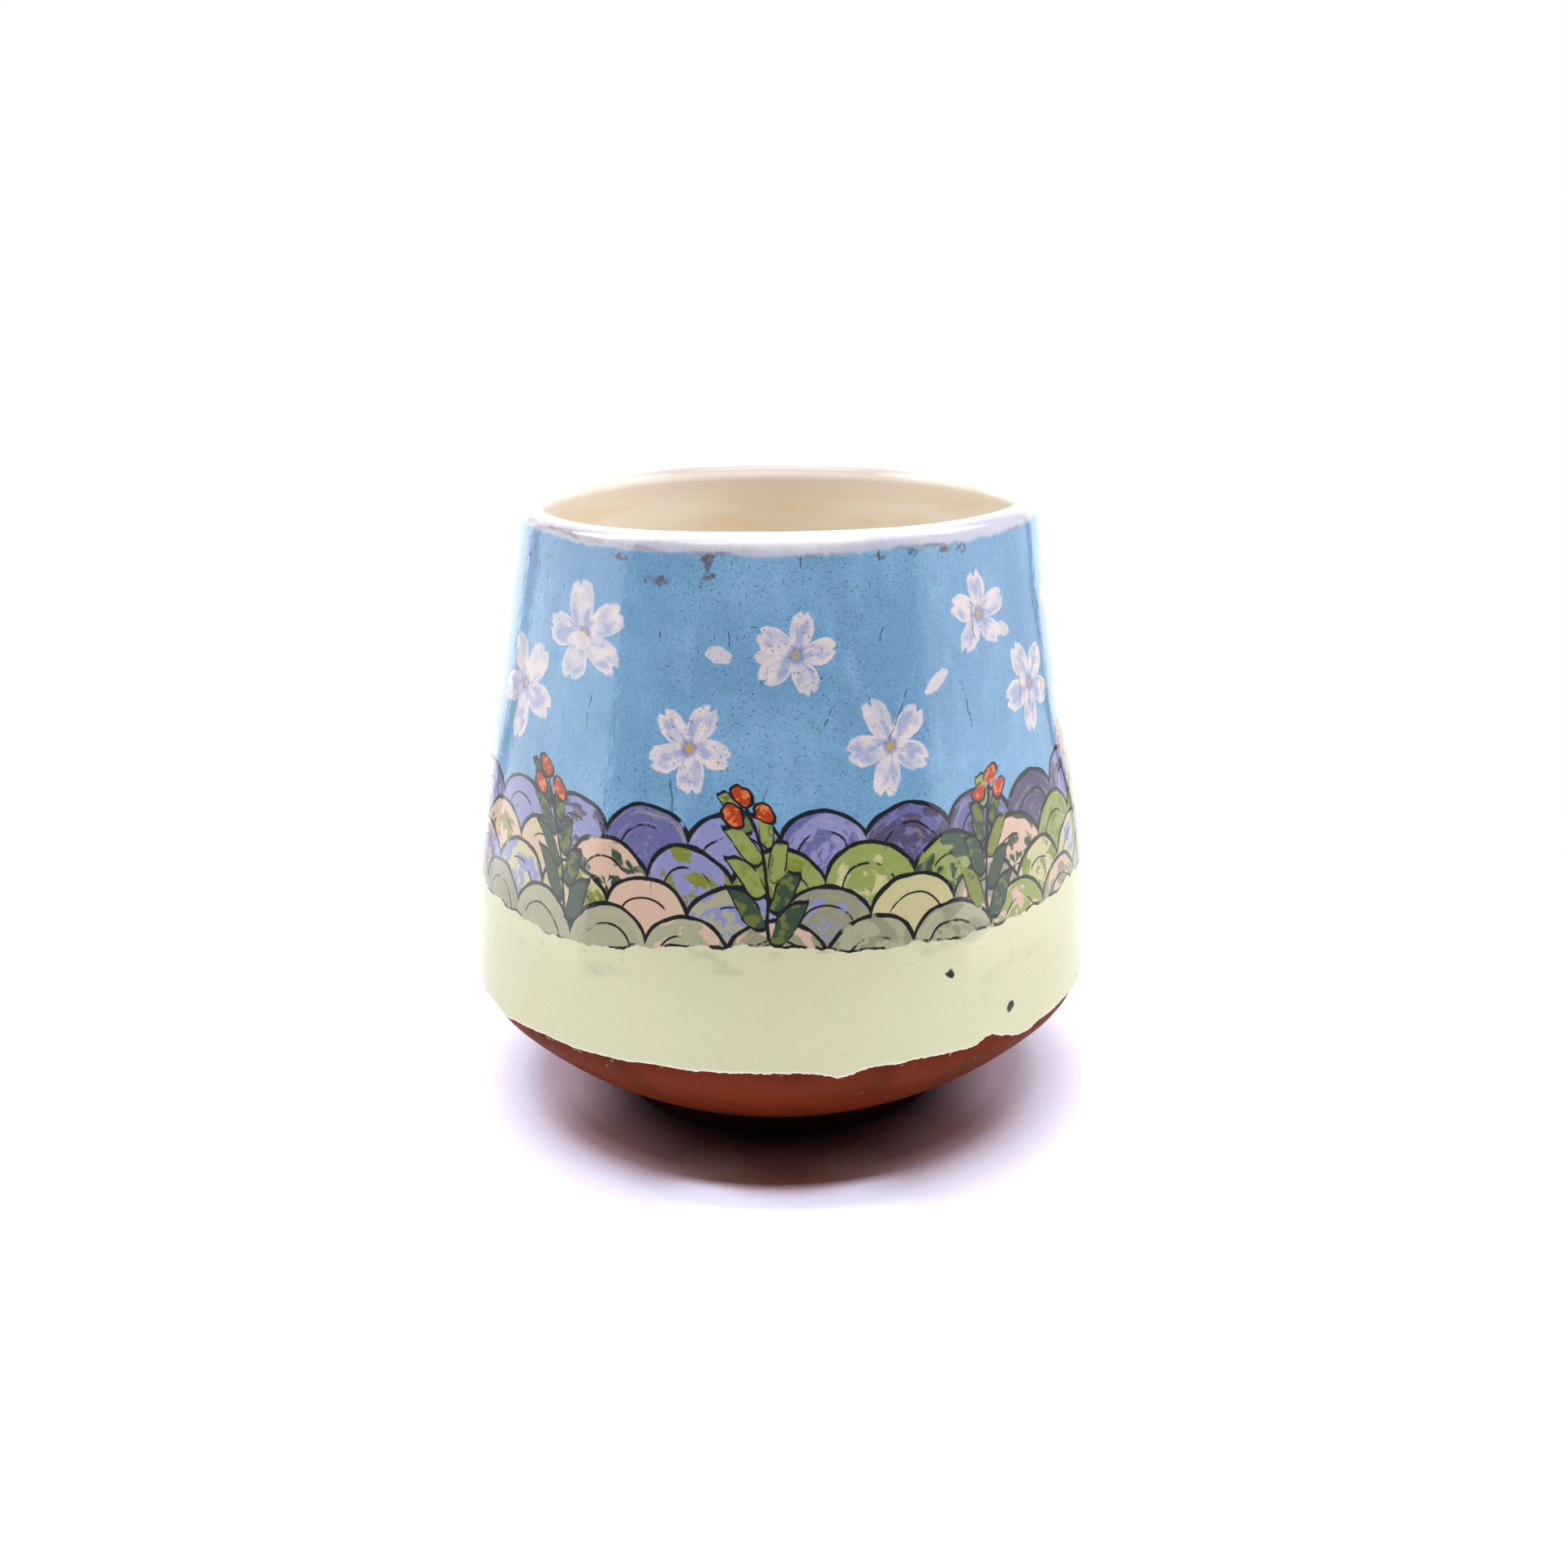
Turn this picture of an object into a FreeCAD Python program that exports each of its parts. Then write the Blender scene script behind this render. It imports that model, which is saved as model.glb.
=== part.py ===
import FreeCAD, Part
import os
from math import cos, degrees, exp, pi, radians, sin

# A hand-thrown mug without a handle, in red earthenware. It is one fired piece: a foot ring turned
# with a tool, a shallow bowl, a tight shoulder and a tall wall that leans in to a rounded lip. A coat
# of pale slip and glaze covers the wall and ends at the shoulder in a torn edge, over bare clay.
# It is modelled as the potter makes it: a thrown blank, from which the clay below the torn edge is
# turned away, down to the foot ring.
# Millimetres. The axis is +Z, the table is z = 0, and the front faces -Y.

# Outside of the wall, over the slip
mug_height = 91.5
belly_radius = 47.5
lip_radius = 38.3
lip_lean_deg = 8.0
# How the thrown wall leans in between belly and lip: share of the way up, share of the lean
wall_stations = [(0.24, 0.08), (0.47, 0.29), (0.63, 0.55), (0.82, 0.79)]

# Turned underside, in bare clay
shoulder_height = 21.0
shoulder_radius = 5.0
underside_radius = 60.0
foot_height = 3.4
foot_radius = 26.3
foot_waist_radius = 25.6
foot_ring_width = 4.6
foot_recess_depth = 2.6
foot_rounding = 0.7
recess_rounding = 1.6

# Inside
lip_thickness = 4.1
wall_thickness = 4.4
floor_thickness = 5.2
inner_corner_radius = 10.0
inner_corner_height = 24.0
throwing_rings = 6
throwing_ring_depth = 0.22

# The slip coat and its torn lower edge. Angles go round from the front, positive towards +X.
slip_thickness = 0.3
slip_edge_height = 20.83
# Waves of the edge: height, how many go round, where the first one starts
slip_waves = [(0.88, 2, 1.44), (0.08, 5, -1.53), (0.07, 9, -2.79), (0.09, 17, 1.9), (0.06, 31, 0.2)]
# Single tears and runs: angle, half-width in degrees, height
slip_tears = [
    (9.5, 3.0, -0.7),
    (37.6, 2.2, 0.8),
    (46.0, 4.0, -0.9),
    (-57.5, 4.0, -0.6),
    (-68.5, 4.0, -0.6),
    (112.0, 3.5, 0.7),
    (171.0, 4.0, -0.7),
    (-124.0, 2.5, 0.8),
]
slip_edge_points = 150
wall_below_shoulder = 3.0

# The turning tool reaches past the clay, and follows the shoulder's round a little way up the wall
tool_reach = 5.0
tool_past_shoulder_deg = 20.0

up = FreeCAD.Vector(0, 0, 1)
lip_direction = FreeCAD.Vector(-sin(radians(lip_lean_deg)), 0, cos(radians(lip_lean_deg)))


def at(radius, height):
    """A point of the section, which is drawn in the XZ plane."""
    return FreeCAD.Vector(radius, 0, height)


def line(start, end):
    return Part.LineSegment(start, end)


def arc(centre, radius, from_deg, to_deg):
    """An arc of the section, through its middle."""
    angles = [radians(a) for a in (from_deg, (from_deg + to_deg) / 2, to_deg)]
    return Part.Arc(*[centre + at(cos(a), sin(a)) * radius for a in angles])


def heading_deg(vector):
    """The direction of a vector in the section, from straight out."""
    turn = degrees(at(1, 0).getAngle(vector))
    return turn if vector.z >= 0 else -turn


def rounded_path(points, radii):
    """Straight runs between points, with an arc of the given radius at each inner point."""
    runs = []
    start = points[0]
    for before, corner, after, radius in zip(points, points[1:], points[2:], radii):
        back = (before - corner).normalize()
        ahead = (after - corner).normalize()
        half_turn = back.getAngle(ahead) / 2
        reach = radius * cos(half_turn) / sin(half_turn)
        middle = corner + (back + ahead).normalize() * (radius / sin(half_turn) - radius)
        runs.append(line(start, corner + back * reach))
        runs.append(Part.Arc(corner + back * reach, middle, corner + ahead * reach))
        start = corner + ahead * reach
    return runs + [line(start, points[-1])]


def turned(curves):
    """A solid of revolution from the curves of a closed section."""
    wire = Part.Wire(Part.__sortEdges__([curve.toShape() for curve in curves]))
    return Part.Face(wire).revolve(FreeCAD.Vector(), up, 360)


def lip():
    """The full round of the lip, outside to inside, which both sides of the wall run into."""
    centre = at(lip_radius - lip_thickness / 2, mug_height - lip_thickness / 2)
    return arc(centre, lip_thickness / 2, lip_lean_deg, 180 + lip_lean_deg)


def outer_wall():
    """The thrown wall outside, over the slip, from below the torn edge to the lip."""
    bottom = at(belly_radius, shoulder_height - wall_below_shoulder)
    top = lip().StartPoint
    rise = top - bottom
    stations = [bottom + at(rise.x * lean, rise.z * height) for height, lean in wall_stations]
    wall = Part.BSplineCurve()
    wall.interpolate(Points=[bottom, *stations, top], InitialTangent=up, FinalTangent=lip_direction)
    return wall


def inner_skin():
    """The inside, from the middle of the floor to the lip."""
    floor_top = foot_recess_depth + floor_thickness
    corner_centre = at(belly_radius - wall_thickness - inner_corner_radius, inner_corner_height)
    # With this radius the floor meets the corner's round without a crease
    rise = inner_corner_height - floor_top
    floor_radius = (corner_centre.x**2 + rise**2 - inner_corner_radius**2) / (
        2 * (rise - inner_corner_radius)
    )
    floor_centre = at(0, floor_top + floor_radius)
    meet_deg = heading_deg(corner_centre - floor_centre)
    floor = arc(floor_centre, floor_radius, -90, meet_deg)
    corner = arc(corner_centre, inner_corner_radius, meet_deg, 0)
    # The wall follows the outside, and the potter's fingers left soft rings on it
    outside = outer_wall()
    first = outside.parameter(at(belly_radius, inner_corner_height))
    last = outside.LastParameter
    steps = 2 * throwing_rings
    points = [corner.EndPoint]
    for step in range(1, steps):
        share = step / steps
        place = first + (last - first) * share
        outwards = FreeCAD.Vector(*outside.tangent(place)[0]).cross(FreeCAD.Vector(0, -1, 0))
        thickness = wall_thickness + (lip_thickness - wall_thickness) * share
        ring = throwing_ring_depth / 2 * sin(pi * share) * (-1) ** step
        points.append(outside.value(place) - outwards * (thickness + ring))
    points.append(lip().EndPoint)
    wall = Part.BSplineCurve()
    wall.interpolate(Points=points, InitialTangent=up, FinalTangent=lip_direction)
    return [floor, corner, wall]


def blank():
    """The thrown blank: the finished wall and inside, on a thick base that is still untrimmed."""
    wall = outer_wall()
    skin = inner_skin()
    ring_inside = foot_radius - foot_ring_width
    underneath = rounded_path(
        [
            at(belly_radius, 0),
            at(ring_inside, 0),
            at(ring_inside - foot_recess_depth / 3, foot_recess_depth),
            at(0, foot_recess_depth),
        ],
        [foot_rounding, recess_rounding],
    )
    base_side = line(wall.StartPoint, underneath[0].StartPoint)
    axis = line(underneath[-1].EndPoint, skin[0].StartPoint)
    return turned([wall, base_side, *underneath, axis, *skin, lip()])


def kept_clay():
    """A plug of all that the turning tool leaves: the shoulder, the bowl and the foot ring's side."""
    clay_radius = belly_radius - slip_thickness
    shoulder_centre = at(clay_radius - shoulder_radius, shoulder_height)
    waist = at(foot_waist_radius, foot_height)
    # The bowl starts at the ring's waist and is tangent to the shoulder's round
    apart = shoulder_centre - waist
    to_shoulder = underside_radius - shoulder_radius
    along = (underside_radius**2 - to_shoulder**2 + apart.Length**2) / (2 * apart.Length)
    aside = (underside_radius**2 - along**2) ** 0.5
    direction = apart.normalize()
    bowl_centre = waist + direction * along + direction.cross(FreeCAD.Vector(0, 1, 0)) * aside
    meet_deg = heading_deg(shoulder_centre - bowl_centre)
    bowl = arc(bowl_centre, underside_radius, heading_deg(waist - bowl_centre), meet_deg)
    shoulder = arc(shoulder_centre, shoulder_radius, meet_deg, tool_past_shoulder_deg)
    # The ring's side and the rounding of its table edge, then straight down under the table
    ring_side, table_edge, table = rounded_path(
        [waist, at(foot_radius, 0), at(foot_radius - foot_ring_width, 0)], [foot_rounding]
    )
    bottom = table_edge.EndPoint - up * tool_reach
    top = shoulder.EndPoint + up * tool_reach
    return turned(
        [
            ring_side,
            table_edge,
            line(table_edge.EndPoint, bottom),
            line(bottom, at(0, bottom.z)),
            line(at(0, bottom.z), at(0, top.z)),
            line(at(0, top.z), top),
            line(top, shoulder.EndPoint),
            shoulder,
            bowl,
        ]
    )


def slip_edge(angle):
    """Height of the slip's torn edge at an angle from the front, in radians."""
    height = slip_edge_height
    for size, count, start in slip_waves:
        height += size * sin(count * angle + start)
    for middle_deg, half_width_deg, size in slip_tears:
        off_deg = (degrees(angle) - middle_deg + 180) % 360 - 180
        height += size * exp(-((off_deg / half_width_deg) ** 2))
    return height


def edge_ring(radius):
    """The torn edge as a closed curve at this radius."""
    turns = [step / slip_edge_points for step in range(slip_edge_points + 1)]
    angles = [2 * pi * turn for turn in turns[:-1]]
    ring = Part.BSplineCurve()
    ring.interpolate(
        Points=[FreeCAD.Vector(radius * sin(a), -radius * cos(a), slip_edge(a)) for a in angles],
        PeriodicFlag=True,
        Parameters=turns,
    )
    return ring.toShape()


def turned_away():
    """The clay and slip that the tool takes off, up to the torn edge and down past the table."""
    inside_clay = edge_ring(foot_radius - foot_ring_width)
    past_slip = edge_ring(belly_radius + slip_thickness)
    sheet = Part.makeRuledSurface(inside_clay, past_slip)
    return sheet.extrude(up * -(shoulder_height + tool_reach)).cut(kept_clay())


mug_body = blank().cut(turned_away()).Solids[0]

os.makedirs("parts", exist_ok=True)
mug_body.exportStep("parts/mug_body.step")
print("mug_body valid", mug_body.isValid(), "volume cm3", round(mug_body.Volume / 1000, 1))
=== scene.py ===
from math import acos, atan2, cos, exp, hypot, pi, radians, sin, tan

import bpy
import numpy as np
from mathutils import Matrix, Vector


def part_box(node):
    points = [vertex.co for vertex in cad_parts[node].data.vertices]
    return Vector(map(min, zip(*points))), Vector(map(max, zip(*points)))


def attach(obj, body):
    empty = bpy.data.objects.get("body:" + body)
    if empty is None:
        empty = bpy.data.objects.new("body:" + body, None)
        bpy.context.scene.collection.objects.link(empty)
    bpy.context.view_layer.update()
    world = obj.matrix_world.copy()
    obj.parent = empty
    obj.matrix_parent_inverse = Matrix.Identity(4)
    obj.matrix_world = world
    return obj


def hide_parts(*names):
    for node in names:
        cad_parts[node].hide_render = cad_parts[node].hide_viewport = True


# The looks of a hand-thrown mug without a handle: painted glaze outside, cream inside, and bare red
# clay below the torn edge of the slip. Lengths are millimetres where metres aren't named. Angles go
# round the axis from the front, which is -Y, and are positive towards +X.
MM = 0.001

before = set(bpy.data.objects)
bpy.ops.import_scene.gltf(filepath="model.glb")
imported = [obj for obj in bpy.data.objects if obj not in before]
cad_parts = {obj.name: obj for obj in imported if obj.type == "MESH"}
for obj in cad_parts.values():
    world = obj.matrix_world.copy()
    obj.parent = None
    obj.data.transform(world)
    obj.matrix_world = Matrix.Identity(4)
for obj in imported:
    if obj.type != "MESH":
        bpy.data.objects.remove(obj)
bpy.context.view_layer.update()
node_low, node_high = (np.array(corner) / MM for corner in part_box("mug_body"))

# Form of the mug: its size comes from the frame and the rest repeats the part's own values, but the
# finger rings inside are a little deeper
slip_thickness = 0.3
mug_height = node_high[2]
belly_radius = (node_high[0] - node_low[0]) / 2
lip_radius = 38.3
lip_lean = radians(8)
lip_thickness = 4.1
wall_start = 18
wall_stations = [(0.24, 0.08), (0.47, 0.29), (0.63, 0.55), (0.82, 0.79)]
wall_thickness = 4.4
floor_thickness = 5.2
inner_corner_radius = 10
inner_corner_height = 24
throwing_rings = 6
throwing_ring_depth = 0.3
shoulder_height = 21
shoulder_radius = 5
underside_radius = 60
foot_height = 3.4
foot_radius = 26.3
foot_waist_radius = 25.6
foot_ring_width = 4.6
foot_recess_depth = 2.6
foot_rounding = 0.7
recess_rounding = 1.6
floor_top = foot_recess_depth + floor_thickness

# Torn edge of the slip, and its waves: height, how many go round, where the first one starts
slip_edge_height = 20.83
slip_waves = [(0.88, 2, 1.44), (0.08, 5, -1.53), (0.07, 9, -2.79), (0.09, 17, 1.9), (0.06, 31, 0.2)]
# Single tears and runs: angle, half-width in degrees, height
slip_tears = [
    (9.5, 3, -0.7), (37.6, 2.2, 0.8), (46, 4, -0.9), (-57.5, 4, -0.6),
    (-68.5, 4, -0.6), (112, 3.5, 0.7), (171, 4, -0.7), (-124, 2.5, 0.8),
]
# Section of the slip where it ends: distance past the edge, share of the slip's thickness
slip_end = [(0, 0), (0.03, 0.45), (0.09, 0.85), (0.2, 1.1), (0.45, 1.2), (0.9, 1.1), (1.6, 1)]
# Rows of the mesh on the clay just below the torn edge, by their distance past it
clay_offsets = (-1.2, -0.7, -0.35, -0.12)

# Fine nicks along the torn edge: height, how many go round, and how far from it they reach
nick_height = 0.9
nick_counts = range(40, 420, 4)
nick_reach = 0.5
# The crease where the bowl meets the foot's waist, and how far up the bowl it ends
crease_rounding = 0.35
crease_end = 1.5
# What the last ring of each disc leaves open in its middle: a radius and an angle
recess_middle = 0.8
floor_middle_angle = 0.008
# Where the thrown wall stands off its axis: height, reach up and down, distance towards +X
wall_leans = [(32, 9, 0.22), (60, 6.5, -0.5), (73, 9, -0.12), (92, 9, 0.42)]
# The unevenness of the round is full above the first height, and that of the lip starts at the second
uneven_height = 25
uneven_lip_height = 55

# Columns of the mesh round the axis. On a disc they double at each of these radii
plain_columns = 360
torn_columns = plain_columns * 4
disc_columns = plain_columns // 4
disc_steps = (7, 15)
# Half-width of the band with the finest columns
torn_band = 5
# Rows of the mesh, and the distance between those of the foot
rounding_steps = 6
bowl_rows = 20
wall_rows = 48
lip_rows = 20
inner_wall_rows = 50
corner_rows = 12
floor_rows = 16
foot_spacing = 1.2


def turned_spline(stations, slope_first, slope_last):
    """Radius over height, smooth through a few stations, with set slopes at both ends."""
    heights, radii = np.array(stations).T
    steps = np.diff(heights)
    rises = np.diff(radii) / steps
    last = len(stations) - 1
    system = np.eye(last + 1)
    wanted = np.zeros(last + 1)
    wanted[0] = slope_first
    wanted[last] = slope_last
    for i in range(1, last):
        system[i, i - 1] = steps[i]
        system[i, i] = 2 * (steps[i - 1] + steps[i])
        system[i, i + 1] = steps[i - 1]
        wanted[i] = 3 * (rises[i - 1] * steps[i] + rises[i] * steps[i - 1])
    slopes = np.linalg.solve(system, wanted)

    def curve(height):
        """The radius and its slope at these heights."""
        piece = np.clip(np.searchsorted(heights, height) - 1, 0, last - 1)
        span = steps[piece]
        share = (height - heights[piece]) / span
        start, end = slopes[piece] * span, slopes[piece + 1] * span
        gain = radii[piece + 1] - radii[piece]
        square = 3 * gain - 2 * start - end
        cube = start + end - 2 * gain
        radius = radii[piece] + share * (start + share * (square + share * cube))
        slope = (start + share * (2 * square + share * 3 * cube)) / span
        return radius, slope

    return curve


lip_centre = np.array([lip_radius, mug_height]) - lip_thickness / 2
lip_start = lip_centre + lip_thickness / 2 * np.array([cos(lip_lean), sin(lip_lean)])
wall_bottom = np.array([wall_start, belly_radius])
wall_shares = np.array([(0, 0), *wall_stations, (1, 1)])
wall = turned_spline(wall_bottom + (lip_start[::-1] - wall_bottom) * wall_shares, 0, -tan(lip_lean))


def around(centre, radius, angles):
    """Radii and heights of points on a circle in the section."""
    return np.array([centre[0] + radius * np.cos(angles), centre[1] + radius * np.sin(angles)])


def arc(centre, radius, start, end, steps):
    """Points of an arc in the section, as pairs of radius and height."""
    return around(centre, radius, np.linspace(start, end, steps + 1)).T


def unit(vector):
    return vector / np.linalg.norm(vector)


def rounded(points, radii, spacing):
    """A path through the points, with an arc at each inner one."""
    path = [np.array(points[0], float)]
    for before, corner, after, radius in zip(points, points[1:], points[2:], radii):
        corner = np.array(corner, float)
        back = unit(before - corner)
        ahead = unit(after - corner)
        half = acos(np.clip(back @ ahead, -1, 1)) / 2
        reach = radius / tan(half)
        centre = corner + unit(back + ahead) * radius / sin(half)
        first = corner + back * reach - centre
        start = atan2(first[1], first[0])
        last = corner + ahead * reach - centre
        turn = (atan2(last[1], last[0]) - start + pi) % (2 * pi) - pi
        bend = arc(centre, radius, start, start + turn, rounding_steps)
        path += [*along(path[-1], bend[0], spacing)[:-1], *bend]
    path += along(path[-1], np.array(points[-1], float), spacing)
    return np.array(path)


def along(start, end, spacing):
    """Points on the straight run after its start, up to its end."""
    count = max(1, round(np.linalg.norm(end - start) / spacing))
    return [start + (end - start) * step / count for step in range(1, count + 1)]


# The clay outside, as a path from the foot's waist up over the bowl and the shoulder
shoulder_centre = np.array([belly_radius - slip_thickness - shoulder_radius, shoulder_height])
waist = np.array([foot_waist_radius, foot_height])
apart = shoulder_centre - waist
span = np.linalg.norm(apart)
forward = apart / span
bowl_along = (underside_radius**2 - (underside_radius - shoulder_radius) ** 2 + span**2) / (2 * span)
bowl_aside = (underside_radius**2 - bowl_along**2) ** 0.5
bowl_centre = waist + forward * bowl_along + np.array([-forward[1], forward[0]]) * bowl_aside
bowl_start = atan2(*(waist - bowl_centre)[::-1])
bowl_end = atan2(*(shoulder_centre - bowl_centre)[::-1])
bowl_length = underside_radius * (bowl_end - bowl_start)
upright = bowl_length + shoulder_radius * -bowl_end


def outside(way):
    """Places and outward directions of the clay, this far along its path."""
    bowl_turn = bowl_start + way / underside_radius
    shoulder_turn = (way - upright) / shoulder_radius
    height = shoulder_height + way - upright
    radius, slope = wall(np.maximum(height, wall_start))
    steep = 1 / np.hypot(1, slope)
    on_wall = [radius - slip_thickness * steep, height + slip_thickness * slope * steep]
    on_shoulder = around(shoulder_centre, shoulder_radius, shoulder_turn)
    on_bowl = around(bowl_centre, underside_radius, bowl_turn)
    is_bowl = way < bowl_length
    is_shoulder = way < upright
    places = np.where(is_bowl, on_bowl, np.where(is_shoulder, on_shoulder, on_wall))
    turn = np.where(is_bowl, bowl_turn, np.where(is_shoulder, shoulder_turn, -np.arctan(slope)))
    return places, np.array([np.cos(turn), np.sin(turn)])


def column_angles(columns):
    """Angles from the front, with the seam at the back."""
    return np.linspace(-pi, pi, columns, endpoint=False)


def torn_edge(angles):
    """Height of the slip's edge, as the part has it."""
    height = np.full_like(angles, slip_edge_height)
    for size, count, start in slip_waves:
        height += size * np.sin(count * angles + start)
    for middle, half_width, size in slip_tears:
        off = (np.degrees(angles) - middle + 180) % 360 - 180
        height += size * np.exp(-((off / half_width) ** 2))
    return height


def ragged(angles):
    """Fine nicks and burrs along the edge, smaller than the part's own waves."""
    rng = np.random.default_rng(7)
    offset = np.zeros_like(angles)
    for count in nick_counts:
        start = rng.uniform(0, 2 * pi)
        offset += nick_height / count**0.75 * np.sin(count * angles + start) * rng.uniform(0.2, 1)
    calm = 0.35 + 0.65 * np.clip(np.sin(3 * angles + 0.8) + 0.6 * np.sin(7 * angles + 2.2), 0, 1)
    return offset * calm


def edge_way(angles):
    """How far along the clay's path the torn edge lies."""
    rise = torn_edge(angles) - shoulder_height
    below = shoulder_radius * np.arcsin(np.clip(rise / shoulder_radius, -1, 0))
    return upright + np.where(rise < 0, below, rise)


class Rows:
    """The mesh's rings, from the middle of the underside to the middle of the floor."""

    def __init__(self):
        self.points, self.materials, self.past_edge = [], [], []

    def add(self, radii, heights, columns, material, past_edge):
        """Adds a ring, the material of the faces that lead to it and its distance past the edge."""
        facts = np.broadcast_arrays(column_angles(columns), radii, heights, past_edge)
        angles, radii, heights, past_edge = facts
        self.points.append(np.stack([radii * np.sin(angles), -radii * np.cos(angles), heights], 1))
        self.materials.append(material)
        self.past_edge.append(past_edge)


CLAY, PAINT, CREAM = range(3)

# How far past the torn edge the lip starts, has its crest and ends, measured along the outline
lip_start_way = lip_start[1] - shoulder_height
crest_way = lip_start_way + lip_thickness / 2 * (pi / 2 - lip_lean)
lip_end_way = lip_start_way + lip_thickness / 2 * pi


def columns_at(radius):
    """Fewer columns towards the middle of a disc."""
    return disc_columns * 2 ** sum(int(radius >= step) for step in disc_steps)


def add_foot(rows):
    """The recess, the foot ring and the crease of its waist."""
    ring_inside = foot_radius - foot_ring_width
    section = rounded(
        [
            (recess_middle, foot_recess_depth),
            (ring_inside - foot_recess_depth / 3, foot_recess_depth),
            (ring_inside, 0),
            (foot_radius, 0),
            tuple(waist),
            tuple(outside(np.array(crease_end))[0]),
        ],
        [recess_rounding, foot_rounding, foot_rounding, crease_rounding],
        foot_spacing,
    )
    for radius, height in section:
        rows.add(radius, height, columns_at(radius), CLAY, -upright)


def add_bowl_and_wall(rows):
    """The bare bowl, the torn edge with its real step, and the slip-coated wall up to the lip."""
    band_low = upright - torn_band
    band_high = upright + torn_band
    for way in np.linspace(crease_end, band_low, bowl_rows)[1:]:
        (radius, height), _ = outside(way)
        rows.add(radius, height, plain_columns, CLAY, way - upright)

    def torn_row(offset, thickness, columns, material, low_share=0, high_share=0):
        """A row this far past the edge, or moved a share of the way to the band's low or high end."""
        angles = column_angles(columns)
        edge = edge_way(angles)
        nicks = ragged(angles) * exp(-abs(offset) / nick_reach)
        way = edge + offset + nicks
        way = way + (band_low - way) * low_share
        way = way + (band_high - way) * high_share
        heavy = 1 + 0.25 * np.sin(4 * angles + 1.1) + 0.2 * np.sin(13 * angles)
        share = 1 + (thickness - 1) * heavy if thickness > 1 else thickness
        places, outwards = outside(way)
        below = places[1] < shoulder_height
        upright_face = [np.full_like(way, belly_radius), places[1]]
        slip_face = np.where(below, upright_face, places + outwards * slip_thickness)
        radii, heights = places + (slip_face - places) * share
        rows.add(radii, heights, columns, material, way - edge - nicks)

    first, last = clay_offsets[0], slip_end[-1][0]
    torn_row(first, 0, plain_columns * 2, CLAY, low_share=0.6)
    torn_row(first, 0, torn_columns, CLAY, low_share=0.25)
    for offset in clay_offsets:
        torn_row(offset, 0, torn_columns, CLAY)
    for offset, thickness in slip_end:
        torn_row(offset, thickness, torn_columns, PAINT if offset else CLAY)
    torn_row(last, 1, torn_columns, PAINT, high_share=0.25)
    torn_row(last, 1, plain_columns * 2, PAINT, high_share=0.6)
    heights = np.linspace(shoulder_height + band_high - upright, lip_start[1], wall_rows)[:-1]
    for height in heights:
        rows.add(wall(height)[0], height, plain_columns, PAINT, height - shoulder_height)


def add_lip(rows):
    """The full round of the lip, painted side first."""
    section = arc(lip_centre, lip_thickness / 2, lip_lean, lip_lean + pi, lip_rows)
    ways = np.linspace(lip_start_way, lip_end_way, lip_rows + 1)
    for way, (radius, height) in zip(ways[:-1], section):
        rows.add(radius, height, plain_columns, PAINT if way < crest_way else CREAM, way)


def add_inside(rows):
    """The inner wall with the soft spiral that fingers left, the corner and the floor."""
    angles = column_angles(plain_columns)
    for share in np.linspace(1, 0, inner_wall_rows):
        height = inner_corner_height + (lip_start[1] - inner_corner_height) * share
        radius, slope = wall(height)
        steep = 1 / hypot(1, slope)
        thickness = wall_thickness + (lip_thickness - wall_thickness) * share
        spiral = np.cos(2 * pi * throwing_rings * share + angles) * sin(pi * share) ** 0.5
        inwards = thickness + throwing_ring_depth / 2 * spiral
        way = lip_end_way + lip_start[1] - height
        rows.add(radius - inwards * steep, height + inwards * slope * steep, plain_columns, CREAM, way)
    corner = np.array([belly_radius - wall_thickness - inner_corner_radius, inner_corner_height])
    rise = inner_corner_height - floor_top
    floor_radius = (corner[0] ** 2 + rise**2 - inner_corner_radius**2) / (2 * (rise - inner_corner_radius))
    floor_centre = np.array([0, floor_top + floor_radius])
    meet = atan2(*(corner - floor_centre)[::-1])
    for radius, height in arc(corner, inner_corner_radius, 0, meet, corner_rows)[1:]:
        rows.add(radius, height, plain_columns, CREAM, lip_end_way + mug_height)
    middle = -pi / 2 + floor_middle_angle
    for radius, height in arc(floor_centre, floor_radius, meet, middle, floor_rows)[1:]:
        rows.add(radius, height, columns_at(radius), CREAM, lip_end_way + mug_height)


def unevenness(points):
    """Moves points: the round is slightly off, the wall leans and the lip isn't quite level."""
    x, y, z = points.T
    angle = np.arctan2(x, -y)
    radius = np.hypot(x, y)
    above_foot = np.clip(z / uneven_height, 0, 1) ** 2
    wave = 0.12 * np.sin(2 * angle + 1.3) + 0.07 * np.sin(3 * angle + 0.5 + z / 22)
    faint_rings = 0.035 * np.sin(z / 1.9 + angle) * np.sin(z / 7.3 + 1)
    grown = radius + above_foot * (wave + faint_rings) * np.clip(radius / 20, 0, 1)
    near_lip = np.clip((z - uneven_lip_height) / (mug_height - uneven_lip_height), 0, 1) ** 2
    raised = z + near_lip * (0.16 * np.sin(2 * angle + 0.6) + 0.09 * np.sin(5 * angle + 2))
    leaning = sum(size * np.exp(-(((z - middle) / reach) ** 2)) for middle, reach, size in wall_leans)
    return np.stack([grown * np.sin(angle) + leaning, -grown * np.cos(angle), raised], 1)


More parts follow.
